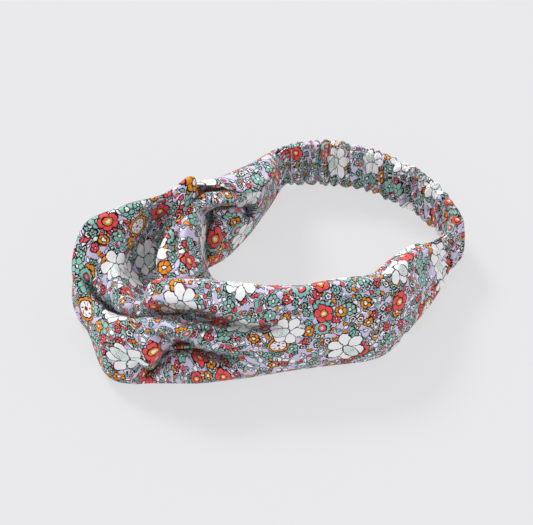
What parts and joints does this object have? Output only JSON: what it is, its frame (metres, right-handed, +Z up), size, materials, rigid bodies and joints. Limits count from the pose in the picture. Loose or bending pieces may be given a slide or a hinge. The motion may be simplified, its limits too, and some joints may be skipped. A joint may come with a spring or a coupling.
{
  "type": "knotted headband",
  "caption": "Soft fabric headband: wide floral strips hooked round each other in a front knot, closed at the back by a gathered elastic casing.",
  "frame": {"origin": "centre of the standing footprint's box, on the surface it stands on", "axes": "+X from the knot's end towards the join at the right, +Y from the long front strip towards the elastic casing, +Z up along the height of the standing band"},
  "size_m": [0.1742, 0.1342, 0.0586],
  "materials": {
    "floral_cotton": "matte plain-weave cotton with a small flower print in lilac, sage, coral, orange and white",
    "floral_casing": "the same printed cotton, gathered",
    "woven_elastic": "ribbed white elastic",
    "sewing_thread": "twisted pale lilac thread"
  },
  "bodies": {
    "front": {"left_strip": "floral_cotton", "right_strip": "floral_cotton", "left_join_thread": "sewing_thread", "right_join_thread": "sewing_thread"},
    "back": {"elastic_casing": "floral_casing", "elastic_band": "woven_elastic", "left_elastic_tack": "sewing_thread", "right_elastic_tack": "sewing_thread", "casing_seam_thread": "sewing_thread"}
  },
  "joints": [
    {"name": "elastic_stretch", "type": "slide", "parent": "front", "child": "back", "axis": [0.613, 0.7901, 0], "range_m": [0, 0.035], "stiffness_N_per_m": 90}
  ]
}
